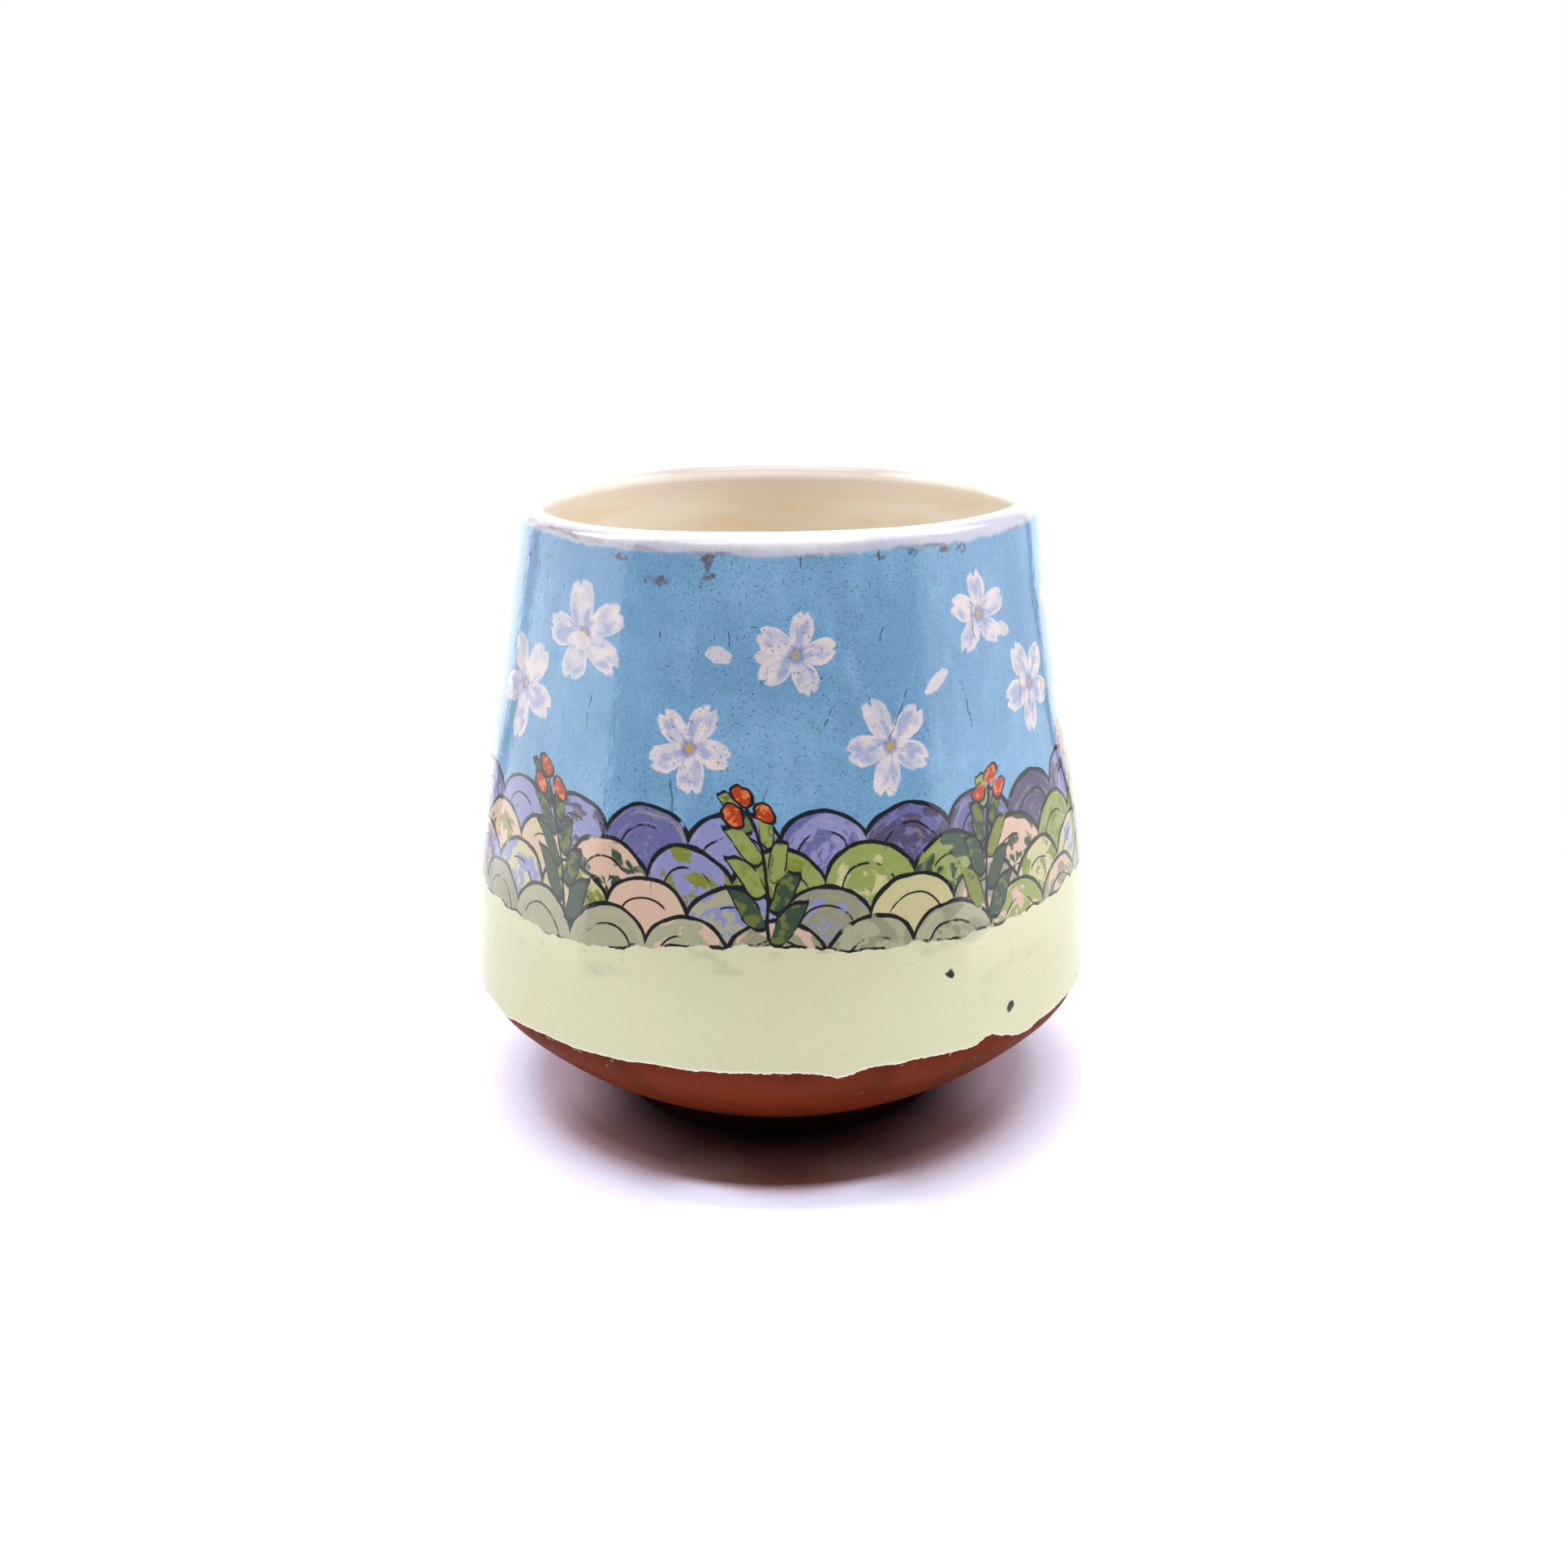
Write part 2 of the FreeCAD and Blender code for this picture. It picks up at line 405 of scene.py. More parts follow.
def bridge(first, first_count, second, second_count):
    """Faces between two rings, of the same number of points or of twice as many on one side."""
    here = np.arange(min(first_count, second_count))
    ahead = np.roll(here, -1)
    if first_count == second_count:
        return np.stack([first + here, first + ahead, second + ahead, second + here], 1).tolist()
    finer_first = first_count > second_count
    coarse, fine = (second, first) if finer_first else (first, second)
    near, far = coarse + here, coarse + ahead
    left, right = fine + 2 * here, fine + 2 * ahead
    triangles = [(near, left + 1, left), (near, far, left + 1), (far, right, left + 1)]
    faces = np.concatenate([np.stack(corners, 1) for corners in triangles])
    return (faces[:, ::-1] if finer_first else faces).tolist()


def fan(first, second, middle):
    """Faces that close a disc, from its last ring and the same ring one step on."""
    return [[int(a), int(b), middle] for a, b in zip(first, second)]


def mug_mesh():
    """The mug as one closed mesh, which keeps each point's distance past the torn edge."""
    rows = Rows()
    add_foot(rows)
    add_bowl_and_wall(rows)
    add_lip(rows)
    add_inside(rows)
    counts = [len(points) for points in rows.points]
    starts = np.concatenate([[0], np.cumsum(counts)])
    faces = []
    materials = []
    for i in range(len(counts) - 1):
        strip = bridge(starts[i], counts[i], starts[i + 1], counts[i + 1])
        faces += strip
        materials += [rows.materials[i + 1]] * len(strip)
    bottom_ring = np.arange(counts[0])
    floor_ring = starts[-2] + np.arange(counts[-1])
    faces += fan(np.roll(bottom_ring, -1), bottom_ring, int(starts[-1]))
    faces += fan(floor_ring, np.roll(floor_ring, -1), int(starts[-1]) + 1)
    materials += [CLAY] * counts[0] + [CREAM] * counts[-1]
    middles = np.array([[0, 0, foot_recess_depth], [0, 0, floor_top]])
    points = unevenness(np.concatenate([*rows.points, middles]))
    mesh = bpy.data.meshes.new("mug")
    mesh.from_pydata((points * MM).tolist(), [], faces)
    mesh.polygons.foreach_set("material_index", materials)
    mesh.polygons.foreach_set("use_smooth", [True] * len(faces))
    past_edge = np.concatenate([*rows.past_edge, [-upright, lip_end_way + mug_height]])
    layer = mesh.attributes.new("past_edge", "FLOAT", "POINT")
    layer.data.foreach_set("value", past_edge)
    mesh.update()
    return mesh


def arithmetic(operation, swapped=False):
    """A function of values, one of them a Number at least, which makes a Number by a math node."""

    def result(*values):
        first = next(value for value in values if isinstance(value, Number))
        node = node_beside(first.socket, "Math")
        node.operation = operation
        for socket, value in zip(node.inputs, values[::-1] if swapped else values):
            feed(socket, value)
        return Number(node.outputs[0])

    return result


class Number:
    """A number that differs from point to point of a surface."""

    def __init__(self, socket):
        self.socket = socket

    __add__ = __radd__ = arithmetic("ADD")
    __sub__ = arithmetic("SUBTRACT")
    __rsub__ = arithmetic("SUBTRACT", swapped=True)
    __mul__ = __rmul__ = arithmetic("MULTIPLY")
    __truediv__ = arithmetic("DIVIDE")
    __mod__ = arithmetic("FLOORED_MODULO")
    __abs__ = arithmetic("ABSOLUTE")


floor_of = arithmetic("FLOOR")
sine = arithmetic("SINE")
power = arithmetic("POWER")
larger = arithmetic("MAXIMUM")
smaller = arithmetic("MINIMUM")
square_root = arithmetic("SQRT")
# The angle of a direction from +Y, positive towards +X
bearing = arithmetic("ARCTAN2")


def length(*parts):
    return square_root(sum(part * part for part in parts))


def node_beside(socket, kind):
    """A new shader node in the tree that a socket belongs to."""
    return socket.id_data.nodes.new("ShaderNode" + kind)


def feed(socket, value):
    """Links a Number or another node's output to a socket, or sets the socket to a plain value."""
    if isinstance(value, Number):
        value = value.socket
    if isinstance(value, bpy.types.NodeSocket):
        value.id_data.links.new(value, socket)
    else:
        socket.default_value = value


def past(value, low, high):
    """0 up to low and 1 from high on, with a soft step between them."""
    node = node_beside(value.socket, "MapRange")
    node.interpolation_type = "SMOOTHSTEP"
    feed(node.inputs["Value"], value)
    feed(node.inputs["From Min"], low)
    feed(node.inputs["From Max"], high)
    return Number(node.outputs["Result"])


def under(value, low, high):
    """1 up to low and 0 from high on."""
    return 1 - past(value, low, high)


def vector(x, y, z):
    """A vector of three values, the first of them a Number."""
    node = node_beside(x.socket, "CombineXYZ")
    for socket, part in zip(node.inputs, (x, y, z)):
        feed(socket, part)
    return node.outputs[0]


def parts_of(socket):
    """The three numbers of a vector or a colour."""
    node = node_beside(socket, "SeparateXYZ")
    feed(node.inputs[0], socket)
    return [Number(output) for output in node.outputs]


def noise_node(place, scale, detail):
    node = node_beside(place, "TexNoise")
    feed(node.inputs["Vector"], place)
    feed(node.inputs["Scale"], scale)
    feed(node.inputs["Detail"], detail)
    return node


def noise(place, scale, detail=2):
    """A soft random number around 0.5."""
    return Number(noise_node(place, scale, detail).outputs[0])


def drifts(place, scale, size, detail=1):
    """Three unlike soft random numbers around 0, of up to about this size."""
    colour = noise_node(place, scale, detail).outputs["Color"]
    return [(part - 0.5) * (2 * size) for part in parts_of(colour)]


def chances(x, y, z):
    """Three even random numbers for each whole x, y and z."""
    place = vector(x, y, z)
    node = node_beside(place, "TexWhiteNoise")
    feed(node.inputs["Vector"], place)
    return parts_of(node.outputs["Color"])


def blend(share, first, second):
    """The first colour where the share is 0, the second where it is 1."""
    node = node_beside(share.socket, "Mix")
    node.data_type = "RGBA"
    inputs = [socket for socket in node.inputs if socket.enabled]
    for socket, value in zip(inputs, (share, first, second)):
        feed(socket, value)
    return next(output for output in node.outputs if output.enabled)


def ramp(value, interpolation, stations):
    """The colour for a number from 0 to 1, from pairs of a number and its colour."""
    node = node_beside(value.socket, "ValToRGB")
    node.color_ramp.interpolation = interpolation
    elements = node.color_ramp.elements
    while len(elements) < len(stations):
        elements.new(1)
    for element, (number, colour) in zip(elements, stations):
        element.position = number
        element.color = colour
    feed(node.inputs[0], value)
    return node.outputs["Color"]


def pick(chance, colours):
    """One of the colours, by a number from 0 to 1."""
    return ramp(chance, "CONSTANT", [(i / len(colours), colour) for i, colour in enumerate(colours)])


def graded(value, stations):
    """The colour between stations, which are a number and its red, green and blue."""
    reach = stations[-1][0]
    return ramp(value / reach, "LINEAR", [(number / reach, (*rgb, 1)) for number, *rgb in stations])


def srgb(red, green, blue):
    """A colour as it is written for a screen, 0 to 255, for a shader socket."""

    def linear(value):
        value /= 255
        return value / 12.92 if value <= 0.04045 else ((value + 0.055) / 1.055) ** 2.4

    return (linear(red), linear(green), linear(blue), 1)


class Surface:
    """A surface's places in millimetres, and turns from the front as shares of a circle."""

    def __init__(self, tree):
        metres = tree.nodes.new("ShaderNodeTexCoord").outputs["Object"]
        scaled = node_beside(metres, "VectorMath")
        scaled.operation = "SCALE"
        feed(scaled.inputs[0], metres)
        feed(scaled.inputs["Scale"], 1 / MM)
        self.place = scaled.outputs[0]
        self.noises = {}
        self.x, self.y, self.z = parts_of(self.place)
        self.turn = bearing(self.x, self.y * -1) / (2 * pi)
        self.radius = length(self.x, self.y)
        attribute = node_beside(metres, "Attribute")
        attribute.attribute_name = "past_edge"
        self.past_edge = Number(attribute.outputs["Fac"])
        # The same place as the brush has it, which is never quite true
        side, rise, _ = drifts(self.place, 0.09, 1.3, 2)
        self.brushed_turn = self.turn + side / (2 * pi * 45)
        self.brushed_z = self.z + rise

    def noise(self, scale, detail):
        """A soft random number around 0.5. Its node is made once and used again."""
        if (scale, detail) not in self.noises:
            self.noises[scale, detail] = noise(self.place, scale, detail)
        return self.noises[scale, detail]

    def streaks(self, squeeze, scale, detail):
        """The noise with its heights multiplied by this, which makes it run upright or lie level."""
        return noise(vector(self.x, self.y, self.z * squeeze), scale, detail)

    def drift(self, scale, detail, size):
        """A soft random number around 0, of up to about half this size."""
        return (self.noise(scale, detail) - 0.5) * size

    def patches(self, scale, detail, low, high):
        """Soft patches of 1 on 0, where the noise is past these numbers."""
        return past(self.noise(scale, detail), low, high)

    def specks(self, spacing):
        """Distance to the nearest of many scattered points, and that point's own chance."""
        node = node_beside(self.place, "TexVoronoi")
        feed(node.inputs["Vector"], self.place)
        feed(node.inputs["Scale"], 1 / spacing)
        return Number(node.outputs["Distance"]) * spacing, parts_of(node.outputs["Color"])[0]

    def cell(self, count, offset):
        """Distance along the wall from the middle of the cell at hand, and the cell's number."""
        turns = self.brushed_turn * count + offset
        number = floor_of(turns)
        return (turns - number - 0.5) * self.radius * (2 * pi / count), number % count

    def mark(self, angle, height, tall=1):
        """Distance along the wall from one place; a tall mark reaches further up and down."""
        off = ((self.turn - angle / 360 + 0.5) % 1 - 0.5) * self.radius * (2 * pi)
        return length(off * tall, (self.z - height) / tall)


def start_material(name):
    material = bpy.data.materials.new(name)
    material.use_nodes = True
    return material, Surface(material.node_tree)


def finish_material(material, colour, roughness, relief, relief_depth, specular):
    """Gives the shader its colour and roughness, and a relief of this depth."""
    nodes = material.node_tree.nodes
    shader = nodes["Principled BSDF"]
    feed(shader.inputs["Specular IOR Level"], specular)
    feed(shader.inputs["Base Color"], colour)
    feed(shader.inputs["Roughness"], roughness)
    bump = nodes.new("ShaderNodeBump")
    feed(bump.inputs["Distance"], relief_depth * MM)
    feed(bump.inputs["Height"], relief)
    feed(shader.inputs["Normal"], bump.outputs["Normal"])
    return material


# Colours of the slips, glazes and clay
INK = srgb(24, 27, 34)
SKY = srgb(128, 174, 214)
SKY_DEEP = srgb(112, 156, 196)
SKY_PALE = srgb(146, 190, 226)
SKY_GRAIN = srgb(98, 138, 178)
TEAL = srgb(92, 148, 176)
LAVENDER = srgb(140, 142, 192)
LAVENDER_DEEP = srgb(104, 104, 158)
PLUM = srgb(82, 74, 108)
LIME = srgb(128, 134, 52)
GRASS = srgb(146, 158, 88)
PINE = srgb(56, 78, 62)
SAGE = srgb(148, 146, 122)
SAGE_PALE = srgb(170, 168, 142)
BLUSH = srgb(214, 180, 162)
STRAW = srgb(200, 192, 146)
PETAL = srgb(226, 212, 212)
PETAL_SHADE = srgb(168, 172, 206)
OCHRE = srgb(196, 160, 84)
BERRY = srgb(176, 62, 26)
BERRY_LIGHT = srgb(222, 120, 70)
BARE_SLIP = srgb(218, 218, 184)
BARE_SLIP_WARM = srgb(222, 216, 182)
# Pale slip at the torn edge, partly a painted highlight
SLIP_EDGE_AND_HIGHLIGHT = srgb(252, 244, 232)
UMBER = srgb(96, 76, 66)
LIP_WHITE = srgb(228, 226, 230)
# Grey where the white thins over the blue, partly painted shade
LIP_GREY_SHADE = srgb(196, 196, 214)
# Violet stain, with painted shade on the left
LIP_STAIN_AND_SHADE = srgb(186, 174, 186)
CREAM_COLOUR = srgb(254, 250, 241)
CREAM_WARM = srgb(249, 239, 219)
# Painted shade inside the cup: at the top of the inner wall, light and darker, and deeper down
CREAM_PALE_SHADE = srgb(249, 240, 235)
CREAM_SHADE = srgb(204, 193, 185)
CREAM_DEEP_SHADE = srgb(238, 210, 166)
TERRACOTTA = srgb(121, 43, 15)
TERRACOTTA_DARK = srgb(100, 36, 14)
TERRACOTTA_PALE = srgb(180, 120, 96)
# Painted shade that darkens the foot ring under the bowl
FOOT_SHADE = srgb(20, 9, 6)


def sky_ground(at):
    """Blue brushed over the slip: mottled, with thin teal places and faint upright strokes."""
    colour = blend(at.patches(0.05, 4, 0.38, 0.66), SKY_DEEP, SKY)
    colour = blend(past(at.streaks(0.3, 0.35, 4), 0.5, 0.72) * 0.35, colour, SKY_PALE)
    colour = blend(at.patches(0.5, 4, 0.5, 0.72) * 0.4, colour, SKY_DEEP)
    colour = blend(at.patches(0.13, 5, 0.56, 0.7) * 0.4, colour, TEAL)
    grain = at.noise(3.2, 4)
    colour = blend(past(grain, 0.5, 0.64) * 0.42, colour, SKY_GRAIN)
    return blend(under(grain, 0.32, 0.44) * 0.3, colour, SKY_PALE)


# Scallops: how many go round, their radius, how far one row lies below the last, and their top
scallop_count = 24
scallop_radius = 6.6
scallop_drop = 4.6
scallop_top = 57


def ink_line(at, distance, width, lightness):
    """A pen line along distance 0, uneven in width and lifted here and there."""
    weight = at.noise(0.45, 2) * width * 2
    line = under(abs(distance), weight * 0.5, weight * 0.5 + 0.16)
    return line * past(at.noise(0.3, 3), lightness, lightness + 0.08)


def scallop_row(at, colour, covered, row, grounds, dabs):
    """One row of overlapping scallops, filled with two colours and drawn round in ink."""
    across, number = at.cell(scallop_count, 0.5 * (row % 2))
    up = at.brushed_z - (scallop_top - scallop_radius - scallop_drop * row)
    distance = length(across, up)
    chance = chances(number, row, 1)
    sweep = bearing(across, up) * 1.3
    stroke = noise(vector(distance * 0.45, sweep, number * 3.7 + row), 1, 2)
    fill = blend(past(stroke, 0.5, 0.56), pick(chance[0], grounds), pick(chance[1], dabs))
    thin = noise(vector(distance * 1.6, sweep, number * 2.3), 1, 2)
    fill = blend(past(thin, 0.5, 0.75) * 0.3, fill, STRAW)
    colour = blend(under(distance, scallop_radius - 0.2, scallop_radius + 0.1) * covered, colour, fill)
    inner = ink_line(at, distance - scallop_radius * 0.6, 0.14, 0.42)
    outline = ink_line(at, distance - scallop_radius, 0.42, 0.25)
    inner = inner * past(up, -1, 0.5)
    return blend(larger(inner, outline) * covered, colour, INK)


def scallops(at, colour, covered):
    """Rows of scallops from the top down, with their grounds and the colours dabbed on them."""
    rows = [
        ([LAVENDER, LAVENDER_DEEP, LAVENDER, PLUM], [LAVENDER_DEEP, PLUM, LAVENDER]),
        ([GRASS, LAVENDER, BLUSH, LIME], [LIME, PINE, STRAW]),
        ([BLUSH, SAGE, STRAW, LAVENDER, SAGE_PALE], [LIME, STRAW, LAVENDER, BLUSH]),
        ([SAGE, SAGE_PALE, GRASS, SAGE], [SAGE_PALE, BLUSH, SAGE]),
    ]
    for row, (grounds, dabs) in enumerate(rows):
        colour = scallop_row(at, colour, covered, row, grounds, dabs)
    return colour


def blossoms(at, colour, height, count, offset, size):
    """A ring of five-petalled blossoms in thin whitish slip that the blue shows through."""
    across, number = at.cell(count, offset)
    chance = chances(number, round(height), 5)
    across = across + (chance[0] - 0.5) * 7
    up = at.brushed_z - height - (chance[1] - 0.5) * 5
    distance = length(across, up)
    reach = size * (chance[2] * 0.35 + 0.8)
    petal = bearing(across, up) / (2 * pi) * 5 + chance[2] * 9
    off = abs(petal % 1 - 0.5) * 2
    edge = reach * (1 - 0.6 * off * off - 0.12 * under(off, 0, 0.14))
    ragged_edge = edge + at.drift(0.9, 3, 1.3)
    streak = noise(vector(distance * 0.35, petal * 2.2, number * 5.1 + height), 1, 3)
    body = blend(past(streak, 0.42, 0.62), PETAL, PETAL_SHADE)
    body = blend(past(distance - edge, -1.5, -0.3), body, PETAL)
    body = blend(under(distance, 0.6, 1.5) * 0.7, body, LAVENDER_DEEP)
    body = blend(under(distance, 0.35, 0.75), body, OCHRE)
    thin = at.patches(0.35, 3, 0.3, 0.6) * 0.35 + 0.62
    return blend(under(distance - ragged_edge, -0.25, 0.2) * thin, colour, body)


def loose_petals(at, colour, height, count, offset):
    """Single small petals between the blossoms."""
    across, number = at.cell(count, offset)
    chance = chances(number, round(height), 11)
    across = across + (chance[0] - 0.5) * 9
    up = at.brushed_z - height - (chance[1] - 0.5) * 9
    tilt = (chance[2] - 0.5) * 3
    slanted = up - across * tilt * 0.5
    distance = length(across * 0.62, slanted)
    shape = under(distance - at.drift(1.2, 2, 0.8), 1, 1.25)
    present = past(chance[2], 0.3, 0.31)
    return blend(shape * present * 0.75, colour, PETAL)


# Sprigs: how many go round, where they stand, and how their leaves are set
sprig_count = 9
sprig_foot = 41
sprig_height = 17.5
leaf_gap = 4.4
leaf_length = 7.2
leaf_half_width = 1.5
leaf_slant = radians(48)
leaf_pairs = 4
berry_radius = 1.3


def sprigs(at, colour):
    """Leafy stems with red berries at the tip, standing in front of the scallops."""
    across, number = at.cell(sprig_count, 0.5)
    chance = chances(number, 3, 7)
    up = at.brushed_z - sprig_foot - (chance[0] - 0.5) * 3
    across = across + (chance[1] - 0.5) * 6 + (chance[2] - 0.5) * up * up * 0.03
    side = past(across, -0.01, 0.01)
    outwards = abs(across)
    slide = (up - outwards * tan(leaf_slant)) / leaf_gap + side * 0.5
    pair = floor_of(slide)
    from_axis = abs(slide - pair - 0.5) * (leaf_gap * cos(leaf_slant))
    reach = outwards / cos(leaf_slant)
    long = leaf_length * (1.1 - pair * 0.14)
    share = smaller(reach / long, 1)
    bulge = power(sine(power(share, 0.8) * pi), 1.4)
    half_width = bulge * leaf_half_width + at.drift(0.9, 2, 0.3)
    on_stem = past(pair, -0.6, -0.5) * under(pair, leaf_pairs - 0.5, leaf_pairs - 0.4)
    present = on_stem * under(reach - long, -0.3, 0)
    leaf_chance = chances(number, pair, side)
    leaf = pick(leaf_chance[0], [PINE, GRASS, LIME, PINE, GRASS])
    leaf = blend(at.patches(0.7, 2, 0.5, 0.6) * 0.6, leaf, pick(leaf_chance[1], [LIME, PINE]))
    colour = blend(under(from_axis - half_width, -0.1, 0.1) * present, colour, leaf)
    drawn = ink_line(at, from_axis - half_width, 0.2, 0.36) * present
    stem = ink_line(at, across, 0.3, 0.1) * past(up, 0, 0.5)
    stem = stem * under(up, sprig_height, sprig_height + 0.5)
    colour = blend(larger(drawn, stem), colour, INK)
    top_berry = length(across, up - sprig_height - 1.4)
    low_berries = length(outwards - 2, up - sprig_height + 0.9)
    berry = smaller(top_berry, low_berries)
    berry = berry + at.drift(0.8, 1, 0.7)
    fill = blend(at.patches(1.1, 1, 0.5, 0.6), BERRY, BERRY_LIGHT)
    colour = blend(under(berry, berry_radius - 0.1, berry_radius + 0.1), colour, fill)
    return blend(ink_line(at, berry - berry_radius, 0.2, 0.33), colour, INK)


painting_foot = 38
# Rings of blossoms and of loose petals: height, how many go round, offset, and the blossoms' size
blossom_rings = [(79, 9, 0.5, 6.2), (67, 9, 0, 7)]
petal_ring = (74, 18, 0.25)


def painting_edge(at):
    """Height above the uneven lower end of the painting."""
    wave = sine(at.turn * (4 * pi) + 1) * 1.2 + sine(at.turn * (10 * pi) + 2) * 0.8
    return at.brushed_z - painting_foot - wave - at.drift(0.25, 3, 2.5)


def bare_slip(at, edge):
    """The plain slip below the painting, with faint smudges of washed-out green."""
    colour = blend(at.patches(0.07, 3, 0.4, 0.65), BARE_SLIP, BARE_SLIP_WARM)
    smudge = past(at.streaks(2.2, 0.1, 4), 0.56, 0.72) * past(edge, -11, -1)
    colour = blend(smudge * 0.55, colour, SAGE_PALE)
    wash = past(at.streaks(3, 0.4, 3), 0.66, 0.72) * past(edge, -7, 0)
    return blend(wash * 0.4, colour, SAGE)


# Scratches: how many columns of them go round, and the height of a row
scratch_count = 24
scratch_rise = 10.5
# Brown marks under the lip: angle from the front, height, radius, and how far drawn out upright
rust_marks = [
    (-12.6, 87.3, 1.3, 1.4), (-22.6, 85.7, 0.95, 0.6), (-31, 88.2, 0.7, 0.65),
    (-52, 86.8, 0.4, 0.8), (-61, 86.3, 0.45, 0.7), (20, 88.5, 0.5, 0.8),
    (27.2, 88.7, 0.65, 0.8), (33.8, 88.5, 0.55, 0.7), (38.5, 88.5, 0.95, 0.8),
    (128, 87, 0.9, 1),
]


def scratches(at):
    """Short hairline scratches, nearly upright, on a loose grid with gaps."""
    turns = at.turn * scratch_count
    column = floor_of(turns)
    level = at.z / scratch_rise
    row = floor_of(level)
    chance = chances(column % scratch_count, row, 21)
    across = (turns - column - 0.2 - chance[0] * 0.6) * at.radius * (2 * pi / scratch_count)
    up = (level - row - 0.5) * scratch_rise
    wobble = at.drift(0.4, 2, 1.2)
    off = abs(across - up * (chance[1] - 0.35) * 0.7 + wobble)
    reach = chance[2] * 5 - 1.6
    broken = at.patches(0.8, 2, 0.4, 0.47)
    return under(off, 0.03, 0.15) * under(abs(up) - reach, -0.5, 0.2) * broken


def flaws(at, colour):
    """Pinholes, dark specks and scratches in the glaze, and brown marks under the lip."""
    crowd = at.noise(0.045, 3) + under(abs(at.turn), 0.03, 0.1) * 0.22
    busy = past(crowd, 0.46, 0.66) * past(at.z, 46, 60)
    pinholes = at.patches(2.4, 4, 0.61, 0.67) * (busy * 0.5 + 0.1)
    far, far_chance = at.specks(1.5)
    dots = under(far, 0.05, 0.18) * past(far_chance, 0.3, 1.1)
    dots = dots * (busy * 0.7 + past(at.z, 38, 48) * 0.25 + 0.05)
    single, single_chance = at.specks(9)
    large = under(single, 0.2, 0.4) * past(single_chance, 0.3, 0.35)
    dark = larger(pinholes * 0.85, larger(dots * 0.9, large * 0.8))
    dark = larger(dark, scratches(at) * past(at.z, 44, 50) * 0.75)
    colour = blend(dark, colour, INK)
    rust = at.noise(0.75, 5) * 4 - 2
    patchy = at.patches(1.3, 4, 0.34, 0.54) * 0.85
    for angle, height, size, tall in rust_marks:
        shape = at.mark(angle, height, tall) + rust * size
        colour = blend(under(shape, size - 0.4, size + 0.3) * patchy, colour, UMBER)
    return colour


# Single dark marks in the glaze: angle from the front, height, radius
glaze_marks = [
    (42.4, 25.2, 0.75), (28.9, 33.1, 0.7), (69.5, 21.5, 0.35),
    (73, 22.3, 0.4), (-104, 29, 0.6), (152, 33, 0.65),
]
# Where the lip's white glaze ends in front, how much higher it ends at the sides, where it turns into
# cream on the inner half of the lip's round, and how much earlier it does so at the back
lip_line_height = 89.1
lip_line_climb = 0.9
cream_way = crest_way + lip_thickness / 2 * (pi / 4)
cream_gain = 0.9


def white_lip(at, colour):
    """The white glaze of the lip, which ends in a grey, stained line that climbs at the sides. The grey
    and the violet are partly painted shade.
    """
    sideways = sine(at.turn * (2 * pi))
    line = sideways * sideways * lip_line_climb + lip_line_height
    runs = at.streaks(0.3, 0.8, 3) - 0.5
    band = at.z - line + runs * 0.9 + at.drift(0.12, 1, 0.9)
    left = past(at.x * -1, 6, 28)
    stain = under(abs(band + 0.05 - left * 0.7), 0.04, 0.45) * at.patches(0.16, 4, 0.42, 0.62)
    # The grey band is partly the white thinning over the blue and partly painted shade under the lip's
    # round
    colour = blend(past(band, -0.45, 0.3), colour, LIP_GREY_SHADE)
    # At the sides the white starts higher, which widens the painted shade
    colour = blend(past(band - sideways * sideways * 2.4, 0.25, 1.5), colour, LIP_WHITE)
    # Violet stain with painted shade: it is stronger and wider on the left side
    violet = past(at.noise(0.2, 3) + left * 0.2, 0.5, 0.68) * past(band, 0, 0.3)
    colour = blend(violet * under(band, 0.7, 1.6 + left * 0.3) * (left * 0.3 + 0.5), colour, LIP_STAIN_AND_SHADE)
    return blend(stain * 0.55, colour, UMBER)


def painted_glaze():
    """Outside: painting on pale slip under a clear glaze, up to the white lip."""
    material, at = start_material("painted_glaze")
    edge = painting_edge(at)
    covered = past(edge, -0.15, 0.15)
    sky = sky_ground(at)
    for ring in blossom_rings:
        sky = blossoms(at, sky, *ring)
    sky = loose_petals(at, sky, *petal_ring)
    colour = blend(covered, bare_slip(at, edge), sky)
    colour = scallops(at, colour, covered)
    colour = blend(ink_line(at, edge, 0.25, 0.46), colour, INK)
    colour = sprigs(at, colour)
    for angle, height, size in glaze_marks:
        ragged_mark = at.mark(angle, height) + at.drift(1.1, 2, 1.2)
        colour = blend(under(ragged_mark, size - 0.15, size + 0.1), colour, INK)
    colour = flaws(at, colour)
    # A pale line along the torn edge: the slip's rolled edge, partly a painted highlight
    colour = blend(under(at.past_edge, 0.22, 0.55), colour, SLIP_EDGE_AND_HIGHLIGHT)
    colour = white_lip(at, colour)
    roughness = at.noise(0.3, 3) * 0.08 + 0.04
    relief = at.noise(0.6, 2) + at.noise(2.2, 2) * 0.25
    return finish_material(material, colour, roughness, relief, relief_depth=0.05, specular=0.5)


